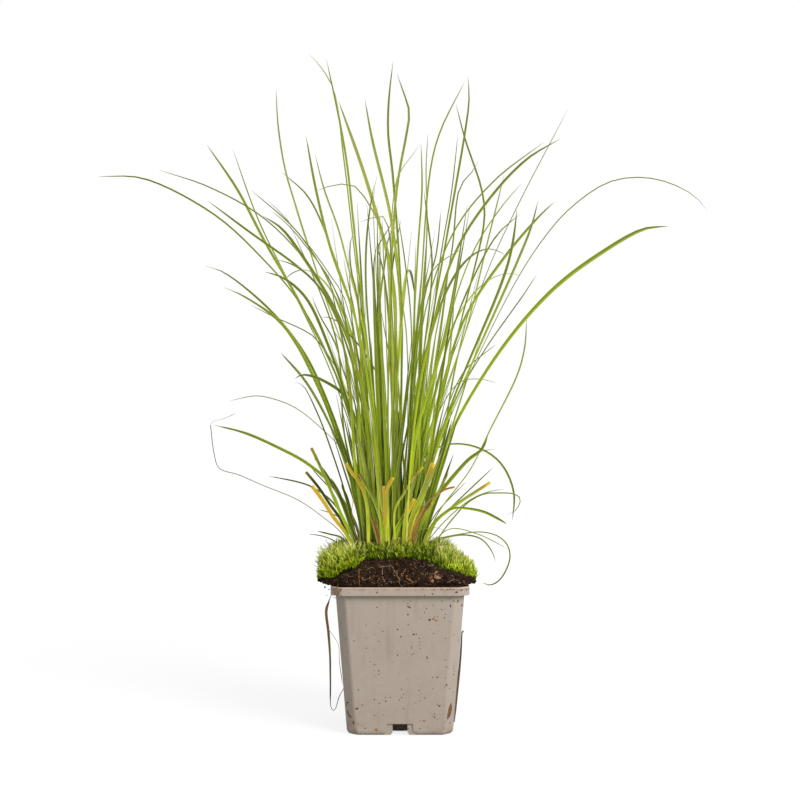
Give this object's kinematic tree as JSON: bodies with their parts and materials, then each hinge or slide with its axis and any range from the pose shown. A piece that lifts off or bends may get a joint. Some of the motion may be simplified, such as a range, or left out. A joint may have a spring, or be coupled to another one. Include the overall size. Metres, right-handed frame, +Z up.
{
  "type": "potted ornamental grass",
  "caption": "Clump of ornamental grass with arching narrow leaves, cut stubs and moss, in a tapered square nursery pot with a rim band and drain slots.",
  "frame": {"origin": "the middle of the pot's flat underside, on the ground", "axes": "+Z up along the pot's axis, -Y towards the front seen in the picture, +X to the right in it"},
  "size_m": [0.4127, 0.4561, 0.4638],
  "materials": {
    "pot_plastic": "matt taupe, dusty, with specks of soil",
    "peat": "crumbly dark brown peat with roots and pale grains",
    "leaf_foot": "packed dull green and straw leaf feet",
    "moss": "bright yellow-green upright moss shoots",
    "leaf_green": "satin mid green with fine veins, yellow at the foot",
    "straw_thread": "dry straw",
    "dead_leaf": "dry brown leaf, beige in its middle",
    "dead_strand": "dry dark brown strand"
  },
  "bodies": {
    "root": {"pot": "pot_plastic", "soil": "peat", "crown": "leaf_foot", "moss": "moss", "leaf_arched_back": "leaf_green", "leaf_arched_back_left": "leaf_green", "leaf_arched_back_right": "leaf_green", "leaf_arched_front_left": "leaf_green", "leaf_arched_front_right": "leaf_green", "leaf_centre_broad": "leaf_green", "leaf_centre_left": "leaf_green", "leaf_centre_right": "leaf_green", "leaf_centre_tall": "leaf_green", "leaf_far_left": "leaf_green", "leaf_far_left_thin": "leaf_green", "leaf_far_right_broad": "leaf_green", "leaf_far_right_thin": "leaf_green", "leaf_folded_tip": "leaf_green", "leaf_hook_right": "leaf_green", "leaf_left_arch": "leaf_green", "leaf_left_arch_low": "leaf_green", "leaf_left_curled": "leaf_green", "leaf_left_droop": "leaf_green", "leaf_left_fan_a": "leaf_green", "leaf_left_fan_b": "leaf_green", "leaf_left_fan_c": "leaf_green", "leaf_left_fan_d": "leaf_green", "leaf_left_highest": "leaf_green", "leaf_left_hook": "leaf_green", "leaf_left_inner": "leaf_green", "leaf_left_low_arch": "leaf_green", "leaf_left_low_long": "leaf_green", "leaf_left_low_spear": "leaf_green", "leaf_left_pointed": "leaf_green", "leaf_left_spear": "leaf_green", "leaf_left_tall": "leaf_green", "leaf_low_back": "leaf_green", "leaf_low_right_bent": "leaf_green", "leaf_right_broad": "leaf_green", "leaf_right_fan_a": "leaf_green", "leaf_right_fan_b": "leaf_green", "leaf_right_fan_c": "leaf_green", "leaf_right_fan_d": "leaf_green", "leaf_right_hair": "leaf_green", "leaf_right_loop": "leaf_green", "leaf_right_low_arch": "leaf_green", "leaf_right_tall": "leaf_green", "leaf_right_tall_thin": "leaf_green", "leaf_right_turned_back": "leaf_green", "leaf_right_upturned": "leaf_green", "stub_centre_short": "leaf_green", "stub_centre_tall": "leaf_green", "stub_left_low": "leaf_green", "stub_left_tall": "leaf_green", "stub_right": "leaf_green", "dry_thread": "straw_thread", "dead_leaf_left": "dead_leaf", "dead_strand_right": "dead_strand"}
  },
  "joints": []
}
